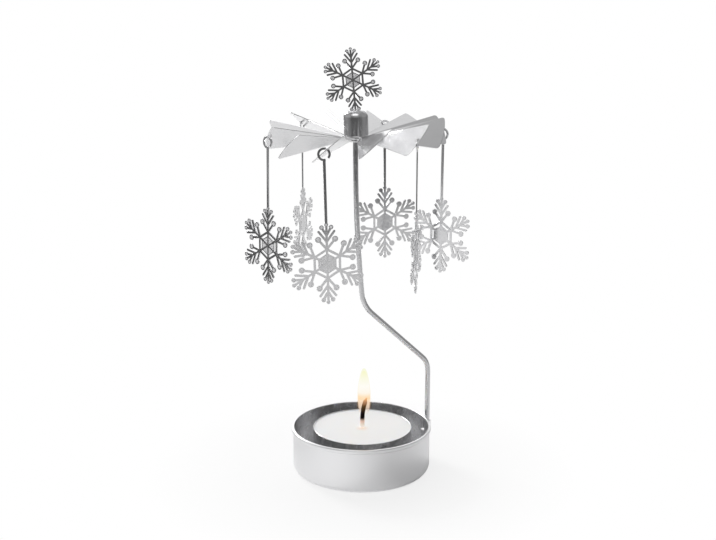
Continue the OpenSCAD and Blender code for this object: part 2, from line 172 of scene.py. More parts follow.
# %% [markdown]
# ## A tool for sheets
# The fan and the snowflakes are cut from flat sheet. An outline like a snowflake's is many bars and
# discs laid over each other, so we let a Delaunay triangulation find the union: it keeps every
# shape's edge and says which shapes cover each triangle. A triangle covered by one shape or more is
# metal. The shapes go in a little too small, and the rim found round them is then pushed out again:
# that leaves a fine bevel on each edge, where bright metal catches the light. Pockets are etched into
# one face the same way.

# %% Sheet from shapes
def disc(middle, radius, sides=28, start=0.0, sweep_angle=2 * math.pi):
    """Points on a circle of that radius round middle, or on an arc of it."""
    closed = abs(sweep_angle - 2 * math.pi) < 1e-9
    angles = start + np.linspace(0, sweep_angle, sides, endpoint=not closed)
    return np.asarray(middle) + radius * np.stack([np.cos(angles), np.sin(angles)], axis=1)


def bar(a, b, width):
    """A bar from a to b with both ends round."""
    a, b = np.asarray(a, float), np.asarray(b, float)
    heading = math.atan2(*(b - a)[::-1])
    start = disc(a, width / 2, 9, heading + math.pi / 2, math.pi)
    return np.vstack([start, disc(b, width / 2, 9, heading - math.pi / 2, math.pi)])


def rim_of(triangles):
    """Edges (a, b) that only one triangle uses, with the metal on their left."""
    edges = np.vstack([triangles[:, [0, 1]], triangles[:, [1, 2]], triangles[:, [2, 0]]])
    known = {tuple(edge) for edge in edges.tolist()}
    return np.array([edge for edge in known if edge[::-1] not in known])


def push_out(flat, rim, distance, reach=4.0):
    """Where each rim point lies once both of its edges have moved out by distance."""
    heading = flat[rim[:, 1]] - flat[rim[:, 0]]
    heading /= np.maximum(np.linalg.norm(heading, axis=1), 1e-9)[:, None]
    outward = np.stack([heading[:, 1], -heading[:, 0]], axis=1)
    total = np.zeros_like(flat)
    np.add.at(total, rim[:, 0], outward)
    np.add.at(total, rim[:, 1], outward)
    length = np.linalg.norm(total, axis=1)
    used = length > 1e-6
    moved = flat.copy()
    # Two unit normals at an angle add up to 2 cos(half), and the corner moves by 1 / cos(half)
    push = np.minimum(2 / np.maximum(length[used], 1e-6), reach)
    moved[used] += total[used] / length[used][:, None] * distance * push[:, None]
    return moved


def sheet(shapes, thickness, bevel, holes=(), pockets=(), pocket_depth=0.0, inner=()):
    """Points (x, y, z) and faces of a flat sheet, the union of shapes less holes, centred on z = 0.

    Each shape is given without its bevel, each hole with it. Returns points, faces of the outside,
    and faces of the pockets' floors.
    """
    loops = [np.asarray(loop, float) for loop in [*shapes, *holes, *pockets]]
    starts = np.cumsum([0] + [len(loop) for loop in loops])
    rings = [list(range(start, start + len(loop))) for start, loop in zip(starts, loops)]
    corners = np.vstack([*loops, *([np.asarray(inner)] if len(inner) else [])])
    flat, _, found, _, _, owners = delaunay_2d_cdt(
        [Vector(corner) for corner in corners], [], rings, 0, 1e-3)
    flat = np.array([point[:] for point in flat])
    first_hole, first_pocket = len(shapes), len(shapes) + len(holes)
    metal, sunk = [], []
    for triangle, owner in zip(found, owners):
        kinds = set(owner)
        if min(kinds, default=first_hole) < first_hole and not kinds & set(range(first_hole, first_pocket)):
            metal.append(triangle)
            sunk.append(bool(kinds) and max(kinds) >= first_pocket)
    metal, sunk = np.array(metal), np.array(sunk, bool)
    rim = rim_of(metal)
    count, half = len(flat), thickness / 2
    outer = push_out(flat, rim, bevel)
    level = np.full(count, half)
    layers = [
        np.column_stack([flat, level]),
        np.column_stack([outer, level - bevel]),
        np.column_stack([flat, level - pocket_depth]),
    ]
    top, edge, floor = 0, count, 2 * count
    points = np.vstack([*layers, *[layer * [1, 1, -1] for layer in layers]])
    under = 3 * count
    a, b = rim[:, 0], rim[:, 1]
    outside = [
        metal[~sunk] + top,
        (metal + top + under)[:, ::-1],
        np.stack([a + edge, b + edge, b + top, a + top], axis=1),
        np.stack([a + edge + under, b + edge + under, b + edge, a + edge], axis=1),
        np.stack([a + top + under, b + top + under, b + edge + under, a + edge + under], axis=1),
    ]
    floors = []
    if sunk.any():
        wall = rim_of(metal[sunk])
        a, b = wall[:, 0], wall[:, 1]
        floors = [metal[sunk] + floor]
        outside.append(np.stack([b + top, a + top, a + floor, b + floor], axis=1))
    return points, outside, floors


def turned_over(made):
    """The same sheet with its pockets in the other face: z changes sign, and so does each face's order."""
    points, outside, floors = made
    return points * [1, 1, -1], [face[:, ::-1] for face in outside], [face[:, ::-1] for face in floors]


def sheet_piece(name, made, place, materials, smooth_angle=35):
    """A sheet's object: place bends and moves its flat points, and pocket floors take the last material."""
    points, outside, floors = made
    blocks = [*outside, *floors]
    used = np.unique(np.concatenate([block.ravel() for block in blocks]))
    new_index = np.zeros(len(points), int)
    new_index[used] = np.arange(len(used))
    faces = [new_index[block] for block in blocks]
    piece = make_piece(name, place(points[used]), faces, smooth_angle, materials)
    is_floor = np.arange(len(piece.data.polygons)) >= sum(len(block) for block in outside)
    piece.data.polygons.foreach_set("material_index", is_floor.astype(np.int32) * (len(materials) - 1))
    return piece


# %% [markdown]
# ## Finishes
# A metal is mostly its roughness: a mirror at 0.05, a satin cup near 0.3. Real sheet is never quite
# flat or clean, so each metal gets a slow wave, fine lines the way it was rolled, drawn or brushed,
# and faint marks. All patterns read Object coordinates, so they stay on the metal as it moves. The
# punch leaves the cup's inside in broad uneven streaks, so its grain is coarse and deep there. An
# etched floor is matt and pale, so that one is only half metallic.

# %% Node helpers
def node(tree, kind, feeds=(), **settings):
    """A new shader node. feeds puts a value or another node's output on each input that it names."""
    made = tree.nodes.new("ShaderNode" + kind)
    for name, value in settings.items():
        setattr(made, name, value)
    for name, feed in dict(feeds).items():
        if isinstance(feed, bpy.types.NodeSocket):
            tree.links.new(feed, made.inputs[name])
        else:
            made.inputs[name].default_value = feed
    return made


def new_material(name, feeds=()):
    """A material, its node tree, and its Principled shader with values on the inputs that feeds names."""
    material = bpy.data.materials.new(name)
    material.use_nodes = True
    shader = material.node_tree.nodes["Principled BSDF"]
    for socket, value in dict(feeds).items():
        shader.inputs[socket].default_value = value
    return material, material.node_tree, shader


def object_place(tree):
    """Object coordinates, in metres."""
    return node(tree, "TexCoord").outputs["Object"]


def noise(tree, scale, detail, stretch=(1, 1, 1)):
    """A noise texture on Object coordinates, in cycles per metre, stretched along the axes."""
    place = node(tree, "Mapping", {"Vector": object_place(tree), "Scale": stretch}).outputs["Vector"]
    return node(tree, "TexNoise", {"Vector": place, "Scale": scale, "Detail": detail}).outputs["Fac"]


def spread(tree, value, low, high, from_low=0.35, from_high=0.65):
    """A value mapped from one range to another, and held at its ends."""
    feeds = {"Value": value, "From Min": from_low, "From Max": from_high, "To Min": low, "To Max": high}
    return node(tree, "MapRange", feeds).outputs["Result"]


def bump(tree, shader, *layers):
    """Bumps laid over each other on a shader, each a height value and its depth in metres."""
    normal = {}
    for height, depth in layers:
        made = node(tree, "Bump", {"Strength": 1.0, "Height": height, "Distance": depth, **normal})
        normal = {"Normal": made.outputs["Normal"]}
    tree.links.new(normal["Normal"], shader.inputs["Normal"])


WAVES, MARKS, GRAIN = 110, 420, 2500


def metal(name, colour, roughness, wave=2e-6, grain=(1, 1, 1), grain_depth=2e-7, spread_by=0.05,
          metallic=1.0):
    """Bright metal: a slow wave, fine grain stretched along its working direction, and uneven polish."""
    material, tree, shader = new_material(name, {"Metallic": metallic, "Base Color": (*colour, 1)})
    polish = spread(tree, noise(tree, MARKS, 6.0), roughness - spread_by / 2, roughness + spread_by)
    tree.links.new(polish, shader.inputs["Roughness"])
    bump(tree, shader, (noise(tree, WAVES, 2.0), wave), (noise(tree, GRAIN, 4.0, grain), grain_depth))
    return material


# %% The metals
cup_metal = metal("cup_satin_steel", (0.84, 0.84, 0.85), 0.29, 4e-7, (1, 1, 2), 4e-8, 0.02)
cup_inner_metal = metal("cup_inner_steel", (0.96, 0.96, 0.97), 0.24, 2e-6, (0.04, 0.04, 0.012), 4e-4, 0.06)
wire_metal = metal("drawn_wire_steel", (0.70, 0.70, 0.71), 0.16, 1e-6, (6, 6, 1))
fan_metal = metal("fan_bright_sheet", (0.82, 0.82, 0.83), 0.17, 2e-6, (1, 1, 1), 1e-7, 0.02)
cap_metal = metal("cap_drawn_steel", (0.72, 0.72, 0.73), 0.09, 5e-7, (0.8, 0.8, 0.02), 8e-5, 0.02)
bush_metal = metal("bush_turned_steel", (0.86, 0.86, 0.87), 0.10, 5e-7, (1, 1, 6), 1e-7, 0.02)
flake_metal = metal("snowflake_polished_sheet", (0.78, 0.78, 0.79), 0.10, 1e-6, (1, 1, 1), 1e-7, 0.03)
etched_metal = metal("snowflake_etched_floor", (0.97, 0.97, 0.98), 0.70, 1e-6, (1, 1, 1), 3e-6, 0.1, 0.5)
foil_metal = metal("tealight_foil", (0.88, 0.88, 0.89), 0.22, 4e-6, (1, 1, 3), 4e-7)
seat_metal = metal("bearing_seat_brass", (0.78, 0.62, 0.32), 0.20, 5e-7)
tin_metal = metal("wick_foot_tin", (0.66, 0.66, 0.67), 0.35, 1e-6)
print("metals:", [material.name for material in bpy.data.materials])


# %% [markdown]
# ## The candle cup
# The cup is pressed from one round blank. Its rim is turned out into a bead that stiffens it, and
# its floor meets the wall in a drawn corner. A profile turned on the lathe says all of that. Behind
# the wire a band of the wall is pressed outwards between two slits, so the wall has a window there:
# the grid simply leaves those faces out, and short walls close the cut edges.

# %% Cup profile
CUP_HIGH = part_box("candle_cup")[1][2] / MM
CUP_R, CUP_WALL, CORNER_R = 26.9, 0.5, 3.0
CUP_INNER = CUP_R - CUP_WALL
BEAD_OUT, BEAD_HIGH, BEAD_SLOPE = 0.5, 1.7, 0.35
RIM_IN = 0.1
WINDOW_HALF = 1.9
WIRE_R = 1.0
FIT, SHRINK = 0.05, 0.01
LEG_R = CUP_R + BEAD_OUT + FIT + WIRE_R
LEG_TURN = math.radians(21.2)
STRAP_LOW = CUP_HIGH - BEAD_HIGH - 4.0
STRAP_HIGH = CUP_HIGH - BEAD_HIGH
STRAP_T = 0.4
SLIT = 0.3
bead_low = CUP_HIGH - BEAD_HIGH
cup_outside = rounded_line(
    [(0, 0), (CUP_R, 0), (CUP_R, bead_low), (CUP_R + BEAD_OUT, bead_low + BEAD_SLOPE),
     (CUP_R + BEAD_OUT, CUP_HIGH), (CUP_R - RIM_IN, CUP_HIGH)], [CORNER_R, 0.25, 0.3, 0.42], 10)
cup_inside = rounded_line(
    [(CUP_R - RIM_IN, CUP_HIGH), (CUP_INNER, CUP_HIGH), (CUP_INNER, CUP_WALL), (0, CUP_WALL)],
    [0.25, CORNER_R - CUP_WALL], 10)
cup_line = np.vstack([cup_outside[:-1], cup_inside])
print("cup profile:", len(cup_line), "points")


# %% Cup with its window
def cup_with_window(turns=288, across=8):
    """The revolved cup, less the wall between the strap's slits, which short faces close all round.

    The window is across columns wide, and its two levels are put into both upright lines of the wall.
    """
    half_window = WINDOW_HALF / CUP_R
    around = np.concatenate([
        np.linspace(-half_window, half_window, across + 1),
        np.linspace(half_window, 2 * math.pi - half_window, turns - across + 1)[1:-1],
    ]) + LEG_TURN
    low, high = STRAP_LOW - SLIT, STRAP_HIGH + SLIT - FIT
    line = []
    for start, end in zip(cup_line, cup_line[1:]):
        line.append(start)
        if abs(start[0] - end[0]) < 1e-6 and start[0] > CUP_INNER - 1e-3:
            cuts = [cut for cut in (low, high) if min(start[1], end[1]) < cut < max(start[1], end[1])]
            line.extend((start[0], cut) for cut in sorted(cuts, reverse=bool(end[1] < start[1])))
    line = np.array([*line, cup_line[-1]])
    points, (quads, *caps) = revolve(line, around)
    columns, ring = len(around), line[1:-1]
    middle = points[quads].mean(axis=1)
    window = ((middle[:, 2] > low) & (middle[:, 2] < high) & (quads[:, 0] % columns < across)
              & (np.linalg.norm(middle[:, :2], axis=1) > CUP_INNER - 0.1))
    outer_low, outer_high, inner_low, inner_high = (
        int(np.argmin(abs(ring[:, 0] - radius) + abs(ring[:, 1] - level))) * columns
        for radius in (CUP_R, CUP_INNER) for level in (low, high))
    j = np.arange(across)
    jambs = [
        np.stack([outer_low + j, outer_low + j + 1, inner_low + j + 1, inner_low + j], axis=1),
        np.stack([inner_high + j, inner_high + j + 1, outer_high + j + 1, outer_high + j], axis=1),
        np.array([[inner_low, inner_high, outer_high, outer_low]]),
        np.array([[outer_low, outer_high, inner_high, inner_low]]) + across,
    ]
    return points, [quads[~window], *jambs, *caps]


def turned(points, angle, shift=(0, 0, 0)):
    """Points turned by an angle about Z and then shifted."""
    c, s = math.cos(angle), math.sin(angle)
    return np.asarray(points) @ np.array([[c, s, 0], [-s, c, 0], [0, 0, 1]]) + shift


# %% [markdown]
# ## The strap
# Seen from above, the strap leaves the wall, runs round the wire like a Greek omega and comes back.
# A thin rectangle carried along that line gives the band, with the cut edges a little broken.

# %% Strap
STRAP_FOOT, STRAP_SINK, STRAP_BEND, STRAP_EDGE = 2.6, 0.12, 0.6, 0.1


def strap():
    """A flat band along an omega-shaped line round the wire, as points and faces."""
    middle = WIRE_R + FIT + STRAP_T / 2
    wall, out = CUP_R - CUP_WALL / 2, LEG_R + middle
    plan = rounded_line(
        [(wall - STRAP_SINK, -STRAP_FOOT), (wall, -middle), (out, -middle), (out, middle),
         (wall, middle), (wall - STRAP_SINK, STRAP_FOOT)],
        [STRAP_BEND, middle - SHRINK, middle - SHRINK, STRAP_BEND], 12)
    heading = np.gradient(plan, axis=0)
    heading /= np.linalg.norm(heading, axis=1)[:, None]
    normal = np.stack([heading[:, 1], -heading[:, 0]], axis=1)
    half, soft = STRAP_T / 2, STRAP_EDGE
    lower = [(-half, STRAP_LOW + soft), (-half + soft, STRAP_LOW),
             (half - soft, STRAP_LOW), (half, STRAP_LOW + soft)]
    section = np.array(lower + [(-across, STRAP_LOW + STRAP_HIGH - up) for across, up in lower])
    points = np.concatenate([
        plan[:, None, :] + normal[:, None, :] * section[None, :, :1],
        np.repeat(section[None, :, 1:], len(plan), axis=0),
    ], axis=2).reshape(-1, 3)
    sides = len(section)
    ends = [np.arange(sides)[None, :], np.arange(sides)[None, ::-1] + (len(plan) - 1) * sides]
    return points, [grid_faces(len(plan), sides, wrap_columns=True)[:, ::-1], *ends]


cup_points, cup_faces = cup_with_window()
strap_points, strap_faces = strap()
strap_points = turned(strap_points, LEG_TURN)
cup = make_piece(
    "candle_cup_shell", np.vstack([cup_points, strap_points]),
    cup_faces + [block + len(cup_points) for block in strap_faces], 40, [cup_metal, cup_inner_metal])
# The inner wall and floor take the second metal, which is less evenly polished
middles = np.array([polygon.center for polygon in cup.data.polygons]) / MM
inside = (np.hypot(middles[:, 0], middles[:, 1]) < CUP_INNER + 0.02) & (middles[:, 2] > CUP_WALL / 2)
cup.data.polygons.foreach_set("material_index", inside.astype(np.int32))
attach(cup, "root")
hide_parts("candle_cup")
print("cup:", len(cup.data.polygons), "faces")

# %% [markdown]
# ## The wire stem
# One length of drawn wire stands in the strap, leans in over the candle in two bends, rises in a
# slight bow and ends in a needle point under the cap. Its line lies in one upright plane, so a flat
# path with rounded corners is enough, and a circle is carried along it. The circle shrinks to a
# blunt point along the needle.

# %% Stem
TIP = np.array(joints["rotor_spin"]["pos_m"]) / MM
leg = LEG_R * np.array([math.cos(LEG_TURN), math.sin(LEG_TURN)])
plane_turn = math.atan2(leg[1], leg[0] - TIP[0])
leg_out = math.hypot(leg[0] - TIP[0], leg[1])
STEM_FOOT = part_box("stem")[0][2] / MM
ELBOW_Z, ELBOW_R = 40.5, 8.3
KNEE_Z, KNEE_R = 66.3, 13.0
BOW_Z = 97.6
STEM_LEAN = math.radians(5.4)
NEEDLE, BLUNT, STRAIGHT_LEFT = 6.0, 0.15, 0.5
knee_out = (BOW_Z - KNEE_Z) * math.tan(STEM_LEAN)
slant = math.atan2(KNEE_Z - ELBOW_Z, leg_out - knee_out)
knee_tangent = KNEE_R * math.tan((math.pi / 2 - slant - STEM_LEAN) / 2)
bow_tangent = (BOW_Z - KNEE_Z) / math.cos(STEM_LEAN) - knee_tangent - STRAIGHT_LEFT
stem_line = rounded_line(
    [(leg_out, STEM_FOOT), (leg_out, ELBOW_Z), (knee_out, KNEE_Z), (0, BOW_Z), (0, TIP[2] - NEEDLE)],
    [ELBOW_R, KNEE_R, bow_tangent / math.tan(STEM_LEAN / 2)], 28)
needle = np.column_stack([np.zeros(7), np.linspace(TIP[2] - NEEDLE, TIP[2], 7)])
foot = np.array([[leg_out, STEM_FOOT], [leg_out, STEM_FOOT + BLUNT]])
stem_line = np.vstack([foot, stem_line[1:-1], needle])
stem_radii = np.concatenate([
    [WIRE_R - BLUNT], np.full(len(stem_line) - len(needle), WIRE_R),
    np.linspace(WIRE_R, BLUNT, len(needle))[1:]])
flat_path = np.column_stack([stem_line[:, 0], np.zeros(len(stem_line)), stem_line[:, 1]])
stem_path = turned(flat_path, plane_turn, (TIP[0], 0, 0))
side = (-math.sin(plane_turn), math.cos(plane_turn), 0)
stem = make_piece("wire_stem", *sweep(stem_path, stem_radii, side), 40, [wire_metal])
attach(stem, "root")
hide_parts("stem")
print("stem length:", round(float(np.linalg.norm(np.diff(stem_path, axis=0), axis=1).sum()), 1), "mm")

# %% [markdown]
# ## The fan
# The fan is one disc of thin bright sheet. Slits part it into twelve blades, and each blade is
# twisted at its narrow neck, so that rising air pushes it round. We cut the flat blank first and
# then bend it: a point's distance from the middle says how far the twist has gone, and a smooth step
# along the neck makes the fold soft. Hand work leaves each blade a little different.

# %% Fan blank
BLADES = 12
FAN_R = 33.6
FAN_T = 0.3
FAN_DROP = 8.3
HUB_R = 4.95
ROOT_R = 6.25
ROOT_W = 2.4
TIP_W = 15.7
BLADE_CORNER = 1.3
TWIST = np.radians(38 - np.array([0, 0, 0, 0, 0, 0, 0, 9.5, 0, -5, 0, 0]))
RISE = np.radians(3.6 - np.array([-0.8, 2.1, 2.2, -0.4, 0.1, -0.5, 2.1, 1, 0.8, -0.2, -4, -2]))
FIRST_BLADE = -167.9
ROTOR_LEAN = math.radians(2.4)
ROTOR_NOD = math.radians(1.4)
HOLE_R = 0.8
HOLE_EDGE = 0.35
NECK_BORE = 2.8
ROOT_SINK, NECK_HALF = 0.4, 0.9
GRID_IN, GRID_OUT, GRID_SHARE = 8, 31, 0.2
BEVEL = 0.06


def blade_outline(bevel):
    """One blade along +X: straight sides, an arc for its outer edge, and rounded corners."""
    spread_tan = (TIP_W - ROOT_W) / 2 / (math.sqrt(FAN_R ** 2 - TIP_W ** 2 / 4) - ROOT_R)
    root, reach = ROOT_W / 2 - bevel, FAN_R - bevel
    corner_x = math.sqrt(FAN_R ** 2 - TIP_W ** 2 / 4) - bevel
    corner = np.array([corner_x, root + (corner_x - ROOT_R) * spread_tan])
    turn = math.atan2(corner[1], corner[0])
    turns = np.linspace(-turn, turn, 41)[1:-1]
    arc = reach * np.stack([np.cos(turns), np.sin(turns)], axis=1)
    kept = abs(arc[:, 1]) < corner[1] - BLADE_CORNER
    low, high = corner * [1, -1], corner
    line = rounded_line(
        [(HUB_R - ROOT_SINK, -root), (ROOT_R, -root), low, arc[kept][0]], [0, BLADE_CORNER * 0.75], 8)
    return np.vstack([line[:-1], arc[kept], (line * [1, -1])[-2::-1]])


def around_axis(points, degrees):
    """Flat points turned about the middle."""
    angle = math.radians(degrees)
    c, s = math.cos(angle), math.sin(angle)
    return np.asarray(points) @ np.array([[c, s], [-s, c]])


def smooth_step(value):
    """0 below 0, 1 above 1, and 3v^2 - 2v^3 between."""
    value = np.clip(value, 0, 1)
    return value * value * (3 - 2 * value)


def blade_dir(index):
    """Direction of a blade from +X, in degrees."""
    return FIRST_BLADE + index * 360 / BLADES


def in_rotor(points):
    """Points of the rotor's own frame, whose origin is the needle's tip, in the part's frame."""
    x, y, z = np.asarray(points, float).T
    x, z = (x * math.cos(ROTOR_LEAN) - z * math.sin(ROTOR_LEAN),
            x * math.sin(ROTOR_LEAN) + z * math.cos(ROTOR_LEAN))
    y, z = (y * math.cos(ROTOR_NOD) - z * math.sin(ROTOR_NOD),
            y * math.sin(ROTOR_NOD) + z * math.cos(ROTOR_NOD))
    return np.stack([TIP[0] + x, TIP[1] + y, TIP[2] + z], axis=1)


def bend_fan(points):
    """The flat blank twisted into a fan.

    Past the hub a point (x, y, z) of a blade turns by the twist about the blade's own line, and then
    by its rise at the blade's root. Both grow along the neck with a smooth step.
    """
    x, y, z = points.T
    azimuth = np.degrees(np.arctan2(y, x))
    index = np.round((azimuth - FIRST_BLADE) / (360 / BLADES)).astype(int) % BLADES
    angle = np.radians(blade_dir(index))
    along = x * np.cos(angle) + y * np.sin(angle)
    across = y * np.cos(angle) - x * np.sin(angle)
    grown = smooth_step((along - HUB_R) / (ROOT_R - HUB_R))
    twist = TWIST[index] * grown
    lift = RISE[index] * grown
    side_y = across * np.cos(twist) - z * np.sin(twist)
    side_z = across * np.sin(twist) + z * np.cos(twist)
    past = along - ROOT_R
    new_x = ROOT_R + past * np.cos(lift) - side_z * np.sin(lift)
    new_z = past * np.sin(lift) + side_z * np.cos(lift)
    turned_x = new_x * np.cos(angle) - side_y * np.sin(angle)
    turned_y = new_x * np.sin(angle) + side_y * np.cos(angle)
    return in_rotor(np.stack([turned_x, turned_y, new_z - FAN_DROP], axis=1))


# %% Fan
shapes = [disc((0, 0), HUB_R - BEVEL, 96)]
holes = [disc((0, 0), NECK_BORE + BEVEL, 64)]
inner = []
neck_x, neck_y = np.meshgrid(np.linspace(HUB_R, ROOT_R, 9), np.linspace(-NECK_HALF, NECK_HALF, 5))
neck_grid = np.stack([neck_x.ravel(), neck_y.ravel()], axis=1)
# Points inside the blades give each twist enough small faces to bend over
blade_grid = np.array([
    (x, y) for x in np.linspace(GRID_IN, GRID_OUT, 12)
    for y in np.linspace(-1, 1, 5) * (x - ROOT_R) * GRID_SHARE])
for index in range(BLADES):
    shapes.append(around_axis(blade_outline(BEVEL), blade_dir(index)))
    inner.append(around_axis(np.vstack([neck_grid, blade_grid]), blade_dir(index)))
    if index % 2 == 0:
        hole = disc((FAN_R - HOLE_EDGE - HOLE_R, 0), HOLE_R + BEVEL, 32)
        holes.append(around_axis(hole, blade_dir(index)))
fan_sheet = sheet(shapes, FAN_T, BEVEL, holes, inner=np.vstack(inner))
fan = sheet_piece("bladed_fan", fan_sheet, bend_fan, [fan_metal], 25)
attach(fan, "rotor")
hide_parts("fan")
print("fan:", len(fan.data.polygons), "faces")

# %% [markdown]
# ## The hub
# A deep-drawn cap sits over the needle, and a turned bush with a flared head holds the fan against
# the cap's lip. Both are lathe work. The cap's line runs from the axis down its inside, round the
# mouth and up its outside to the axis again, so one turn closes it.

# %% Cap
CAP_R, CAP_WALL, CAP_TOP = 4.6, 0.45, 2.0
CAP_BORE = CAP_R - CAP_WALL
CAP_SHOULDER, CAP_BORE_SHOULDER = 2.5, 1.35
LIP_HIGH, LIP_OUT = 0.8, 0.25
fan_top, fan_under = FAN_T / 2 - FAN_DROP, -FAN_T / 2 - FAN_DROP
cap_outside = rounded_line(
    [(CAP_BORE, fan_top), (CAP_R + LIP_OUT, fan_top), (CAP_R + LIP_OUT, fan_top + LIP_HIGH),
     (CAP_R, fan_top + LIP_HIGH), (CAP_R, CAP_TOP), (0, CAP_TOP)], [0.12, 0.3, 0.15, CAP_SHOULDER], 12)
cap_inside = rounded_line(
    [(0, CAP_TOP - CAP_WALL), (CAP_BORE, CAP_TOP - CAP_WALL), (CAP_BORE, fan_top)],
    [CAP_BORE_SHOULDER], 12)
cap_points, cap_faces = revolve(np.vstack([cap_inside, cap_outside[1:]]), 128)
cap = make_piece("hub_cap_shell", in_rotor(cap_points), cap_faces, 35, [cap_metal])
print("cap, turned:", len(cap.data.polygons), "faces")

# %% [markdown]
# The snowflake on top stands in a narrow slot in the cap. A slot is a saw cut and not part of the
# turning, so a thin block is taken out of the cap with a boolean.

# %% Slot in the cap
FINIAL_TURN = math.radians(10)
SHEET_T = 0.4
SLOT_W = 4.37
slot_half = np.array([SLOT_W / 2, SHEET_T / 2 + FIT, CAP_WALL + FIT])
signs = np.array([(x, y, z) for x in (-1, 1) for y in (-1, 1) for z in (-1, 1)])
slot_faces = [[0, 1, 3, 2], [4, 6, 7, 5], [0, 4, 5, 1], [2, 3, 7, 6], [0, 2, 6, 4], [1, 5, 7, 3]]
slot_points = turned(signs * slot_half, FINIAL_TURN) + [0, 0, CAP_TOP]
cutter = make_piece("slot_cutter", in_rotor(slot_points), [slot_faces])
cut = cap.modifiers.new("slot", "BOOLEAN")
cut.operation = "DIFFERENCE"
cut.solver = "EXACT"
cut.object = cutter
bpy.context.view_layer.objects.active = cap
bpy.ops.object.modifier_apply(modifier=cut.name)
bpy.data.objects.remove(cutter)
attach(cap, "rotor")
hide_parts("hub_cap")
print("cap, slotted:", len(cap.data.polygons), "faces")

# %% [markdown]
# The bush goes up through the fan and plugs the cap, and its head stays below as a bright ring. The
# seat and the wick's foot keep the engineer's own surfaces, and only take a metal.

# %% Bush
BUSH_BORE, BUSH_HEAD_R, BUSH_HEAD_T, BUSH_PLUG = 2.2, 3.6, 1.2, 1.8
BORE_EDGE = 0.2
head_low, plug_r = fan_under - BUSH_HEAD_T, CAP_BORE - SHRINK
bush_line = rounded_line(
    [(BUSH_BORE + BORE_EDGE, head_low), (BUSH_HEAD_R, head_low), (BUSH_HEAD_R, fan_under),
     (NECK_BORE, fan_under), (NECK_BORE, fan_top), (plug_r, fan_top), (plug_r, fan_top + BUSH_PLUG),
     (BUSH_BORE, fan_top + BUSH_PLUG), (BUSH_BORE, head_low + BORE_EDGE)],
    [0.33, 0.33, 0, 0, 0, 0.1, 0.1], 8)
bush_points, bush_faces = revolve(bush_line, 128)
bush = make_piece("hub_bush_turned", in_rotor(bush_points), bush_faces, 35, [bush_metal])
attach(bush, "rotor")
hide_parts("hub_bush")
for name, material in (("bearing_seat", seat_metal), ("wick_sustainer", tin_metal)):
    frame["nodes"][name].data.materials.clear()
    frame["nodes"][name].data.materials.append(material)
print("bush:", len(bush.data.polygons), "faces")

# %% [markdown]
# ## The snowflakes
# Each snowflake is etched from sheet: acid eats right through round the outline, and half-way in
# where the drawing asks for a matt field. An arm is drawn once as bars and discs and turned six
# times. The discs' middles and the six fields of the inner plate are pockets, so the bars and rings
# stand up bright and the pockets stay dull, as on the real one.

# %% Snowflake outline
FLAKE_R = 14.8
BAR_W = 0.88
FRAME_SHARE = 0.355
PLATE_SHARE = 0.258
BUD_SHARES = (0.6, 0.207, 0.074)
TWIG_ROOT_SHARE = 0.54
TWIG_SHARES = (0.79, 0.19)
PRONG_ROOT_SHARE = 0.69
PRONG_SHARES = (0.89, 0.115, 0.056)
TIP_SHARES = (0.952, 0.048)
POCKET_SHARE, FIELD_SHARE = 0.66, 0.70
EDGE = 0.03


def snowflake(radius, bar_w, bevel):
    """Shapes and pockets of a six-armed snowflake, all as shares of its radius."""
    wide = bar_w - 2 * bevel
    shapes = [disc((0, 0), PLATE_SHARE * radius - bevel, 6)]
    pockets = []
    frame_r = FRAME_SHARE * radius
    for turn in range(0, 360, 60):
        arm = [bar((0, 0), (TIP_SHARES[0] * radius, 0), wide),
               disc((TIP_SHARES[0] * radius, 0), TIP_SHARES[1] * radius - bevel)]
        rings = [((TIP_SHARES[0] * radius, 0), TIP_SHARES[1] * radius)]
        for side in (-1, 1):
            bud = np.array([BUD_SHARES[0], side * BUD_SHARES[1]]) * radius
            prong = np.array([PRONG_SHARES[0], side * PRONG_SHARES[1]]) * radius
            twig = np.array([TWIG_SHARES[0], side * TWIG_SHARES[1]]) * radius
            arm += [bar((frame_r, 0), bud, wide), disc(bud, BUD_SHARES[2] * radius - bevel),
                    bar((TWIG_ROOT_SHARE * radius, 0), twig, wide),
                    bar((PRONG_ROOT_SHARE * radius, 0), prong, wide),
                    disc(prong, PRONG_SHARES[2] * radius - bevel)]
            rings += [(bud, BUD_SHARES[2] * radius), (prong, PRONG_SHARES[2] * radius)]
        next_corner = frame_r * np.array([math.cos(math.pi / 3), math.sin(math.pi / 3)])
        arm.append(bar((frame_r, 0), next_corner, wide))
        pocket = [disc(middle, size * POCKET_SHARE, 20) for middle, size in rings]
        field = disc((0, 0), PLATE_SHARE * radius, 6)[:2]
        field = np.vstack([[[0, 0]], field])
        centre = field.mean(axis=0)
        pocket.append(centre + (field - centre) * FIELD_SHARE)
        shapes += [around_axis(shape, turn) for shape in arm]
        pockets += [around_axis(shape, turn) for shape in pocket]
    return shapes, pockets


def stood_up(outlines, rise):
    """Outlines turned so that their first arm points up, and moved up by rise."""
    return [around_axis(outline, 90) + [0, rise] for outline in outlines]


def tab(half, low, high):
    """An upright strip, twice half wide, from low to high."""
    return np.array([(-half, low), (half, low), (half, high), (-half, high)])


# %% [markdown]
# A pendant adds a long strip and an open hook to the top of the snowflake. Its place comes straight
# from its hinge: the hinge's line lies along the sheet, and its point is the hook's inside top. The
# etched face looks away from the stem, so a sheet that comes out the other way is turned over.

# %% Pendants
HOOK_R = 2.0
HOOK_W = 0.8
HOOK_GAP = 32
STRIP_W = 1.0
HANG = 39.0
POCKET = 0.08
SWAY = np.radians([-1, 1.4, 0, 0.4, -0.4, 0])


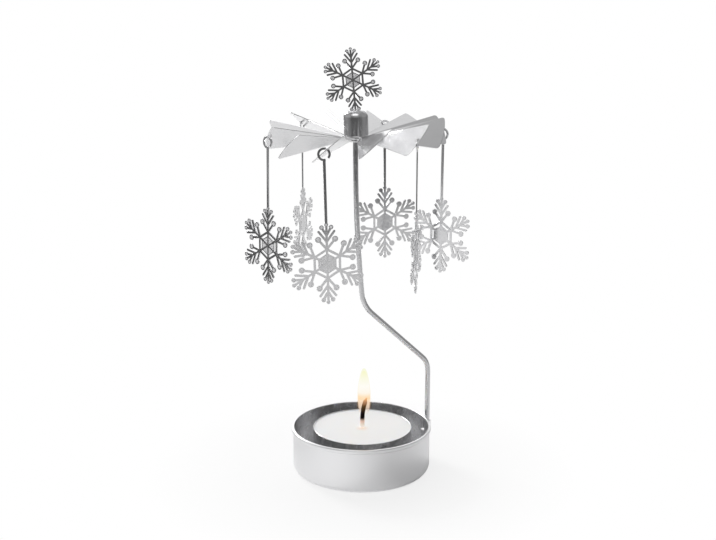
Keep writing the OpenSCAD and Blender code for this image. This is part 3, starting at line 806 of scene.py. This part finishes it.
def hook_ring(bevel):
    """The open hook as one closed outline: the outer arc and the inner arc back."""
    start = math.radians(HOOK_GAP) - math.pi / 2 + math.asin(STRIP_W / 2 / HOOK_R)
    spin = 2 * math.pi - math.radians(HOOK_GAP)
    trim = bevel / HOOK_R
    outer = disc((0, 0), HOOK_R + HOOK_W / 2 - bevel, 49, start + trim, spin - trim)
    inner = disc((0, 0), HOOK_R - HOOK_W / 2 + bevel, 49, start + trim, spin - trim)
    return np.vstack([outer, inner[::-1]])


def pendant_sheet():
    """The flat pendant in its own plane: X across, Y up, the hook's middle at the origin."""
    shapes, pockets = (stood_up(outlines, -HANG) for outlines in snowflake(FLAKE_R, BAR_W, EDGE))
    shapes.append(tab(STRIP_W / 2 - EDGE, -HANG + TIP_SHARES[0] * FLAKE_R, -HOOK_R))
    shapes.append(hook_ring(EDGE))
    return sheet(shapes, SHEET_T, EDGE, (), pockets, POCKET)


flat_pendant = pendant_sheet()
for number in range(1, 7):
    hinge = joints[f"pendant_{number}_swing"]
    along = -np.array(hinge["axis"])
    facing = np.cross(along, (0, 0, 1))
    middle = np.array(hinge["pos_m"]) / MM - [0, 0, HOOK_R - HOOK_W / 2]
    c, s = math.cos(SWAY[number - 1]), math.sin(SWAY[number - 1])
    axes = np.array([along * c + [0, 0, s], [0, 0, c] - along * s, facing])
    outward = float(facing @ (middle - TIP))
    pendant = sheet_piece(
        f"snowflake_pendant_{number}", flat_pendant if outward > 0 else turned_over(flat_pendant),
        lambda points: points @ axes + middle, [flake_metal, etched_metal])
    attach(pendant, f"pendant_{number}")
    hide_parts(f"pendant_{number}")
print("pendant:", len(pendant.data.polygons), "faces")

# %% [markdown]
# The finial is the same snowflake, smaller and upright. Its foot, a short tab, goes down through the
# slot almost to the seat, and the whole sheet leans a little in the slot's play.

# %% Finial
FINIAL_R = 11.9
FINIAL_LEAN = math.radians(2.5)
SEAT_ROOM, FOOT_LIFT, FOOT_HALF = 1.0, 0.5, 0.7
SEAT_TOP = CAP_TOP - CAP_WALL - SEAT_ROOM
FINIAL_RISE = SEAT_TOP + FOOT_LIFT + FINIAL_R
finial_flake = snowflake(FINIAL_R, BAR_W * FINIAL_R / FLAKE_R, EDGE)
shapes, pockets = (stood_up(outlines, FINIAL_RISE) for outlines in finial_flake)
shapes.append(tab(FOOT_HALF, SEAT_TOP + FIT + EDGE, FINIAL_RISE - TIP_SHARES[0] * FINIAL_R))


def place_finial(points):
    """The finial's flat points leaned in its slot, turned with it and set on the rotor."""
    x, height, through = points.T
    height = height - CAP_TOP
    c, s = math.cos(FINIAL_LEAN), math.sin(FINIAL_LEAN)
    leaned = np.stack([x * c - height * s, -through, x * s + height * c + CAP_TOP], axis=1)
    return in_rotor(turned(leaned, FINIAL_TURN))


finial = sheet_piece(
    "snowflake_finial", sheet(shapes, SHEET_T, EDGE, (), pockets, POCKET), place_finial,
    [flake_metal, etched_metal])
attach(finial, "rotor")
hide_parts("finial")
print("finial:", len(finial.data.polygons), "faces")

# %% [markdown]
# ## The tealight
# A tealight is a thin foil cup filled with wax. The foil's edge is cut and slightly rolled, the wax
# climbs it a little where it set, and the pool round the wick lies lowest. Wax lets light in a
# little way and scatters it, which subsurface scattering does on the shader.

# %% Foil cup
LIGHT_R = 19.3
LIGHT_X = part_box("tealight_cup")[0][0] / MM + LIGHT_R
LIGHT_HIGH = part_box("tealight_cup")[1][2] / MM
FOIL_T = 0.25
foil_line = rounded_line(
    [(0, CUP_WALL), (LIGHT_R, CUP_WALL), (LIGHT_R, LIGHT_HIGH), (LIGHT_R - FOIL_T, LIGHT_HIGH),
     (LIGHT_R - FOIL_T, CUP_WALL + FOIL_T), (0, CUP_WALL + FOIL_T)], [0.8, 0.12, 0.12, 0.55], 8)
foil_points, foil_faces = revolve(foil_line, 192)
foil = make_piece("tealight_foil_cup", foil_points + [LIGHT_X, 0, 0], foil_faces, 35, [foil_metal])
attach(foil, "tealight")
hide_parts("tealight_cup")
print("foil cup:", len(foil.data.polygons), "faces")

# %% [markdown]
# The wax is one turned shape: a gentle dip round the wick, where it melts first, and a small climb
# up the wick and up the foil. The flame's warm glow is painted into its colour near the wick, by the distance
# from it.

# %% Wax
WAX_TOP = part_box("wax")[1][2] / MM
WICK_R = 0.85
DIP, DIP_WIDE = 0.22, 9.0
CLIMB, CLIMB_WIDE = 0.25, 0.5
SHORE = 0.6
EDGE_CLIMB = np.array([(0, -0.02), (-0.05, 0), (-0.2, -0.05)])
PAINTED_GLOW_REACH = 0.010


def ramp(tree, value, stops):
    """A colour that runs with a value through (place, colour) stops."""
    made = node(tree, "ValToRGB", {"Fac": value})
    elements = made.color_ramp.elements
    while len(elements) < len(stops):
        elements.new(0.5)
    for element, (place, colour) in zip(elements, stops):
        element.position = place
        element.color = (*colour, 1)
    return made.outputs["Color"]


def wax_material():
    """White paraffin: soft subsurface light, and the flame's warm glow painted into its colour round the
    wick.
    """
    material, tree, shader = new_material("paraffin_wax", {
        "Roughness": 0.5, "Subsurface Weight": 0.35, "Subsurface Radius": (1.0, 0.8, 0.6),
        "Subsurface Scale": 0.003, "IOR": 1.44})
    at = node(tree, "Mapping", {"Vector": object_place(tree), "Location": (-LIGHT_X * MM, 0.0012, 0)})
    flat = node(tree, "VectorMath", {0: at.outputs["Vector"], 1: (1, 1, 0)}, operation="MULTIPLY")
    reach = node(tree, "VectorMath", {0: flat.outputs["Vector"]}, operation="LENGTH").outputs["Value"]
    # Painted glow: the flame's warm light is painted into the wax's colour within a few mm of the wick
    stops = [(0.0, (0.95, 0.80, 0.68)), (0.30, (0.94, 0.94, 0.93))]
    tree.links.new(ramp(tree, spread(tree, reach, 0, 1, 0, PAINTED_GLOW_REACH), stops), shader.inputs["Base Color"])
    bump(tree, shader, (noise(tree, 160, 2.0), 3e-5))
    return material


wax_r = LIGHT_R - FOIL_T - SHRINK
pool = np.linspace(WICK_R, wax_r - SHORE, 40)
dip = DIP * np.exp(-((pool / DIP_WIDE) ** 2))
pool_z = WAX_TOP - dip + CLIMB * np.exp(-((pool - WICK_R) / CLIMB_WIDE))
wax_line = np.vstack([
    rounded_line([(0, CUP_WALL + FOIL_T), (wax_r, CUP_WALL + FOIL_T), (wax_r, WAX_TOP)], [0.5], 6)[:-1],
    EDGE_CLIMB + [wax_r, WAX_TOP],
    np.column_stack([pool, pool_z])[::-1], [(0, pool_z[0])],
])
wax_points, wax_faces = revolve(wax_line, 160)
wax = make_piece("wax_filling", wax_points + [LIGHT_X, 0, 0], wax_faces, 60, [wax_material()])
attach(wax, "tealight")
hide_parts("wax")
print("wax pool from", WICK_R, "to", round(wax_r, 2), "mm")

# %% [markdown]
# ## The wick
# The wick is a braided cord. Soaked and pale at its foot, where a faint painted glow lifts it out of
# its shade, it is burned black above the wax and glows at its curled end. The flame lights the wax all round
# it, so the cord casts no shadow.

# %% Wick
def fade(tree, low, high, axis="Z"):
    """0 to 1 along an axis of Object coordinates, between two places in metres."""
    split = node(tree, "SeparateXYZ", {"Vector": object_place(tree)})
    return spread(tree, split.outputs[axis], 0, 1, low, high)


def wick_material(foot_z, tip_z):
    """Wax-soaked at the foot, with a faint painted glow there, charred black above it, and an ember at the
    tip.
    """
    material, tree, shader = new_material("charred_wick", {
        "Emission Strength": 1.0, "Roughness": 0.9, "Specular IOR Level": 0.1})
    height = fade(tree, foot_z, tip_z)
    tree.links.new(ramp(tree, height, [
        (0.0, (0.95, 0.88, 0.82)), (0.22, (0.84, 0.62, 0.50)), (0.31, (0.01, 0.006, 0.006)),
        (0.74, (0.006, 0.003, 0.002)), (0.88, (0.08, 0.025, 0.01)), (1.0, (0.25, 0.08, 0.02)),
    ]), shader.inputs["Base Color"])
    # Painted light: the foot's faint warm emission lifts it out of its shade; the tip's glow is the ember
    tree.links.new(ramp(tree, height, [
        (0.0, (0.35, 0.30, 0.26)), (0.22, (0.1, 0.07, 0.06)), (0.31, (0, 0, 0)), (0.70, (0, 0, 0)),
        (0.86, (0.20, 0.04, 0.008)), (1.0, (0.70, 0.22, 0.04)),
    ]), shader.inputs["Emission Color"])
    bump(tree, shader, (noise(tree, 900, 4.0, (1, 1, 2)), 2e-4))
    return material


STRAIGHT = 3.0
WICK_LIFT = 0.3
CURL_R = 25.0
CURL = math.radians(21)
wick_foot = CUP_WALL + FOIL_T + WICK_LIFT
straight = np.linspace(wick_foot, WAX_TOP + STRAIGHT, 40)
curl = np.linspace(0, CURL, 25)[1:]
wick_path = np.vstack([
    np.column_stack([np.full(len(straight), LIGHT_X), np.zeros(len(straight)), straight]),
    np.column_stack([LIGHT_X + CURL_R * (1 - np.cos(curl)), np.zeros(len(curl)),
                     WAX_TOP + STRAIGHT + CURL_R * np.sin(curl)]),
])


def braid(path, radius, side, sides=48, strands=3, lay=3.2, waist=0.97, strand=0.05, tip=1.6):
    """A braided cord: the radius rises and falls with strands that wind both ways.

    r = R (waist + strand max(cos(strands (t + w)), cos(strands (t - w)))), where w turns once per lay.
    Over the last tip mm it narrows to 0.45 of that.
    """
    points, faces = sweep(path, np.ones(len(path)), side, sides)
    length = np.concatenate([[0], np.cumsum(np.linalg.norm(np.diff(path, axis=0), axis=1))])
    wind = 2 * math.pi * length[:, None] / lay / strands
    angles = np.linspace(0, 2 * math.pi, sides, endpoint=False)[None, :]
    swell = np.maximum(np.cos(strands * (angles + wind)), np.cos(strands * (angles - wind)))
    taper = np.clip((length[-1] - length) / tip, 0.45, 1)[:, None]
    grown = (radius * taper * (waist + strand * swell)).reshape(-1, 1)
    middle = np.repeat(path, sides, axis=0)
    points[:-2] = middle + (points[:-2] - middle) * grown
    return points, faces


wick = make_piece(
    "charred_wick_cord", *braid(wick_path, WICK_R, (0, 1, 0)), 60,
    [wick_material(WAX_TOP * MM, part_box("wick")[1][2])])
wick.visible_shadow = False
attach(wick, "tealight")
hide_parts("wick")
print("wick:", len(wick.data.polygons), "faces")


# %% [markdown]
# ## The flame
# The flame is two closed drops, one in the other: a white core, and a thin yellow envelope that shows
# past its edges. A drop is a profile of radius over height. Each gives light and lets light through,
# so it is emission mixed with transparency, by a cover that fades out towards the foot. Behind the
# wick the core covers more than before it, so the black cord stands out against the glow.

# %% Flame
FLAME_LOW, FLAME_HIGH = 18.6, 41.2
CORE_LOW, CORE_HIGH = 20.5, 40.2
FLAME_R, FLAME_WIDE_AT = 2.8, 0.36
CORE_R, CORE_WIDE_AT = 2.35, 0.42
FLAME_SHIFT = 0.65


def flame_drop(low, high, widest, wide_at, rows=48, sides=64):
    """A drop from low to high with a round top: r = widest * (sin(pi * s^p))^0.45, for s from 0 to 1."""
    share = np.linspace(0, 1, rows)[1:-1]
    power = math.log(0.5) / math.log(wide_at)
    radius = widest * np.sin(math.pi * share ** power) ** 0.45
    ring = np.column_stack([radius, low + (high - low) * share])
    points, faces = revolve(np.vstack([[0, low], ring, [0, high]]), sides)
    return points + [LIGHT_X + FLAME_SHIFT, 0, 0], faces


def show_mix(tree, share, first, second):
    """Two shaders mixed by a share, on the tree's output."""
    mix = node(tree, "MixShader", {0: share, 1: first, 2: second})
    output = next(found for found in tree.nodes if found.type.startswith("OUTPUT"))
    tree.links.new(mix.outputs["Shader"], output.inputs["Surface"])


def flame_material(name, low, high, stops, near, far):
    """Light whose colour changes with height; near and far are its cover before and behind the wick."""
    material, tree, shader = new_material(name)
    tree.nodes.remove(shader)
    height = fade(tree, low * MM, high * MM)
    near, far = (ramp(tree, height, [(place, (share,) * 3) for place, share in cover])
                 for cover in (near, far))
    depth = fade(tree, -WICK_R * MM, WICK_R * MM, "Y")
    cover = node(tree, "Mix", {"Factor": depth, 6: near, 7: far}, data_type="RGBA").outputs[2]
    light = node(tree, "Emission", {"Color": ramp(tree, height, stops)})
    show_mix(tree, cover, node(tree, "BsdfTransparent").outputs["BSDF"], light.outputs["Emission"])
    return material


envelope_cover = [(0.0, 0.0), (0.22, 0.0), (0.38, 0.10), (0.5, 0.10), (0.85, 0.10), (1.0, 0.2)]
envelope = make_piece(
    "flame_envelope", *flame_drop(FLAME_LOW, FLAME_HIGH, FLAME_R, FLAME_WIDE_AT), 180,
    [flame_material("flame_envelope_glow", FLAME_LOW, FLAME_HIGH,
                    [(0.0, (0.80, 0.60, 0.70)), (0.22, (1.0, 0.50, 0.20)), (0.45, (1.0, 0.60, 0.16)),
                     (0.65, (1.0, 0.80, 0.18)), (1.0, (0.80, 0.85, 0.20))], envelope_cover, envelope_cover)])
core = make_piece(
    "flame_core", *flame_drop(CORE_LOW, CORE_HIGH, CORE_R, CORE_WIDE_AT), 180,
    [flame_material("flame_core_glow", CORE_LOW, CORE_HIGH,
                    [(0.0, (1.0, 0.82, 0.70)), (0.30, (1.0, 0.78, 0.60)), (0.44, (1.0, 0.72, 0.42)),
                     (0.56, (1.0, 0.97, 0.92)), (0.7, (1.0, 1.0, 1.0)), (1.0, (0.95, 0.95, 0.68))],
                    [(0.0, 0.0), (0.30, 0.0), (0.42, 0.30), (0.52, 0.85), (1.0, 0.92)],
                    [(0.0, 0.0), (0.08, 0.1), (0.22, 0.75), (0.40, 0.90), (1.0, 0.92)])])
for flame in (envelope, core):
    flame.visible_shadow = False
    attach(flame, "tealight")
print("flame from", FLAME_LOW, "to", FLAME_HIGH, "mm")

# %% [markdown]
# ## The studio
# Bright metal shows its surroundings, so the studio is half of the picture. A pale table reaches
# half a metre to the front and a metre to the back. For the camera it goes over into plain white away
# from the object, and keeps only a faint shadow close to it. For the metal it has one painted pool of
# light at the front left, emission that only glossy rays see, which the cup's wall mirrors.

# %% Table
TABLE_R, TABLE_BACK, TABLE_T, TABLE_GAP = 750, 250, 4.0, 0.02
WHITE_FROM, WHITE_TO, WHITE_SHARE = 0.03, 0.085, 0.78
# The painted pool of light: its middle in metres, the reach over which it fades, and its share of emission
PAINTED_POOL_AT = (-0.036, -0.048, 0)
POOL_IN, POOL_OUT, PAINTED_POOL_SHARE = 0.012, 0.065, 0.9


def maths(tree, operation, first, second):
    """One operation on two values."""
    return node(tree, "Math", {0: first, 1: second}, operation=operation).outputs["Value"]


def table_material():
    """A pale table top that goes over into white: far off for the camera, and in a painted pool of light for
    glossy rays.
    """
    material, tree, shader = new_material("pale_table", {
        "Base Color": (0.88, 0.88, 0.88, 1), "Roughness": 0.9, "Specular IOR Level": 0.1})
    reach = node(tree, "VectorMath", {0: object_place(tree)}, operation="LENGTH")
    off = node(tree, "VectorMath", {0: object_place(tree), 1: PAINTED_POOL_AT}, operation="DISTANCE")
    far = spread(tree, reach.outputs["Value"], WHITE_SHARE, 1, WHITE_FROM, WHITE_TO)
    # Painted pool of light: near the cup's front left, glossy rays see plain emission in place of the lit
    # table
    pool = spread(tree, off.outputs["Value"], PAINTED_POOL_SHARE, 0, POOL_IN, POOL_OUT)
    path = node(tree, "LightPath").outputs
    share = maths(tree, "MAXIMUM", maths(tree, "MULTIPLY", far, path["Is Camera Ray"]),
                  maths(tree, "MULTIPLY", pool, path["Is Glossy Ray"]))
    show_mix(tree, share, shader.outputs["BSDF"], node(tree, "Emission").outputs["Emission"])
    return material


table_points, table_faces = revolve(
    [(0, -TABLE_T), (TABLE_R, -TABLE_T), (TABLE_R, -TABLE_GAP), (0, -TABLE_GAP)], 128)
table = make_piece("table_top", table_points + [0, TABLE_BACK, 0], table_faces, 30, [table_material()])
print("table:", len(table.data.polygons), "faces")


# %% [markdown]
# The room is dim, and dimmer below the horizon, with eight soft bright patches, as if reflectors hung
# round the object. Each is a soft spot round a direction: the closer a ray runs to it, the brighter
# it gets. The camera itself sees plain white past the table.

# %% Room
def room_patch(tree, view, azimuth, elevation, wide, soft, bright):
    """Brightness that falls from bright to 0 between wide and wide + soft degrees off a direction."""
    a, e = math.radians(azimuth), math.radians(elevation)
    toward = (math.cos(a) * math.cos(e), math.sin(a) * math.cos(e), math.sin(e))
    dot = node(tree, "VectorMath", {0: view, 1: toward}, operation="DOT_PRODUCT")
    outer, inner = (math.cos(math.radians(angle)) for angle in (wide + soft, wide))
    return spread(tree, dot.outputs["Value"], 0, bright, outer, inner)


ROOM_LIGHT = 0.183
GROUND_SHARE, HORIZON_LOW, HORIZON_HIGH = 0.6, -0.08, 0.03
# Azimuth from +X, elevation, half-width and soft edge, all in degrees, and brightness
PATCHES = [
    (132, 44, 12, 14, 0.68), (66, 30, 18, 14, 0.39), (66, 50, 14, 14, 0.15), (60, 82, 18, 20, 0.25),
    (180, 15, 25, 25, 0.25), (0, 20, 25, 25, 0.15), (-90, 40, 22, 20, 0.22), (95, 5, 20, 15, 1.0),
]
world = bpy.data.worlds.new("studio")
bpy.context.scene.world = world
world.use_nodes = True
tree = world.node_tree
tree.nodes.clear()
node(tree, "OutputWorld")
view = node(tree, "TexCoord").outputs["Generated"]
bright = ROOM_LIGHT
for patch in PATCHES:
    bright = maths(tree, "ADD", bright, room_patch(tree, view, *patch))
height = node(tree, "SeparateXYZ", {"Vector": view}).outputs["Z"]
ground = spread(tree, height, GROUND_SHARE, 1, HORIZON_LOW, HORIZON_HIGH)
dimmed = maths(tree, "MULTIPLY", bright, ground)
seen, lit = (node(tree, "Background", {"Color": colour}).outputs["Background"]
             for colour in ((1, 1, 1, 1), dimmed))
show_mix(tree, node(tree, "LightPath").outputs["Is Camera Ray"], lit, seen)
print("room:", len(PATCHES), "patches")


# %% [markdown]
# A big soft box hangs in front, above the camera, where no blade mirrors it. A small strong one at
# the back left draws the bright edges and throws the shadow forward.

# %% Lamps
def soft_box(name, place, width, height, radiance, aim=(0, 0, 0.08)):
    """An area lamp at a place in metres, turned to face a point; its power is pi * area * radiance."""
    lamp = bpy.data.lights.new(name, "AREA")
    lamp.shape = "RECTANGLE"
    lamp.size, lamp.size_y = width, height
    lamp.energy = math.pi * width * height * radiance
    holder = bpy.data.objects.new(name, lamp)
    holder.location = place
    holder.rotation_euler = (Vector(aim) - Vector(place)).to_track_quat("-Z", "Y").to_euler()
    bpy.context.scene.collection.objects.link(holder)
    print(name, "at", place, "gives", round(lamp.energy, 2), "W")


soft_box("soft_box_front", (-0.15, -0.75, 1.05), 1.1, 0.7, 1.02)
soft_box("key_back_left", (-0.55, 0.62, 0.50), 0.3, 0.3, 18.5)

# %% [markdown]
# A dark card stands low at the left, out of the camera's sight. Metal that faces it gets a dark
# stretch, and so its shape reads on white.

# %% Dark card
CARD_X, CARD_HIGH, CARD_FRONT, CARD_BACK = -300, 70, -20, 210
flag_material, _, _ = new_material("black_flag_left", {"Base Color": (0.19, 0.19, 0.19, 1), "Roughness": 0.9})
flag = make_piece("black_flag_left", [
    (CARD_X, CARD_FRONT, 0), (CARD_X, CARD_BACK, 0),
    (CARD_X, CARD_BACK, CARD_HIGH), (CARD_X, CARD_FRONT, CARD_HIGH),
], [[[0, 1, 2, 3]]], 35, [flag_material])
flag.visible_camera = False
print("card:", CARD_BACK - CARD_FRONT, "by", CARD_HIGH, "mm")

# %% [markdown]
# ## The camera
# The photograph was taken from a little above the fan, looking down at about thirteen degrees.

# %% Camera
CAMERA_PLACE, CAMERA_DOWN, CAMERA_TURN = (0, -0.4305, 0.1827), 13.35, 0.175
camera = bpy.data.objects.new("camera", bpy.data.cameras.new("camera"))
camera.location = CAMERA_PLACE
camera.rotation_euler = (math.radians(90 - CAMERA_DOWN), 0, math.radians(CAMERA_TURN))
camera.data.lens = 58.2
camera.data.sensor_width = 36
bpy.context.scene.collection.objects.link(camera)
bpy.context.scene.camera = camera
bpy.context.scene.view_settings.view_transform = "Standard"
print("camera at", camera.location[:])
